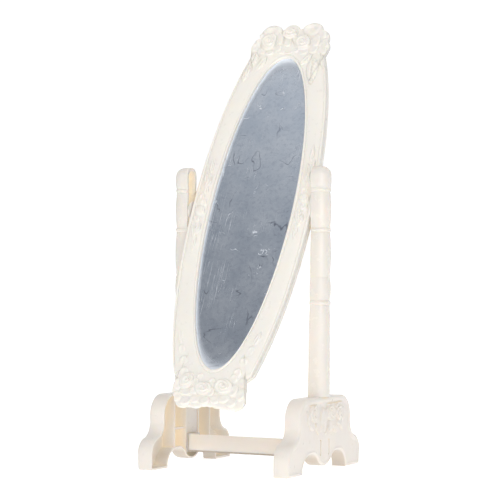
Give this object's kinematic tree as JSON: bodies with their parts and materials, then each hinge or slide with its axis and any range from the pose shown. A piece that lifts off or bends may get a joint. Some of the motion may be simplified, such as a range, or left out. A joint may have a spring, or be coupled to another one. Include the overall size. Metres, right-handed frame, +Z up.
{
  "type": "cheval mirror",
  "caption": "Fashion-doll cheval floor mirror: an oval mirror with rose carving that tilts between two turned posts on shell feet.",
  "frame": {"origin": "on the floor, midway between the two feet and under the tilt axis", "axes": "+X along the tilt axis, to the right when the mirror is seen from its front; -Y the way the mirror faces; +Z up"},
  "size_m": [0.1036, 0.1223, 0.2752],
  "materials": {
    "ivory_plastic": "moulded ivory plastic, satin gloss",
    "mirror_film": "metallised film on a plastic sheet, finely scratched"
  },
  "bodies": {
    "stand": {"left_foot": "ivory_plastic", "right_foot": "ivory_plastic", "left_post": "ivory_plastic", "right_post": "ivory_plastic", "crossbar": "ivory_plastic"},
    "mirror": {"mirror_frame": "ivory_plastic", "mirror_sheet": "mirror_film", "back_cover": "ivory_plastic"}
  },
  "joints": [
    {"name": "mirror_tilt", "type": "hinge", "parent": "stand", "child": "mirror", "pos_m": [0, 0, 0.155], "axis": [1, 0, 0], "continuous": true}
  ]
}
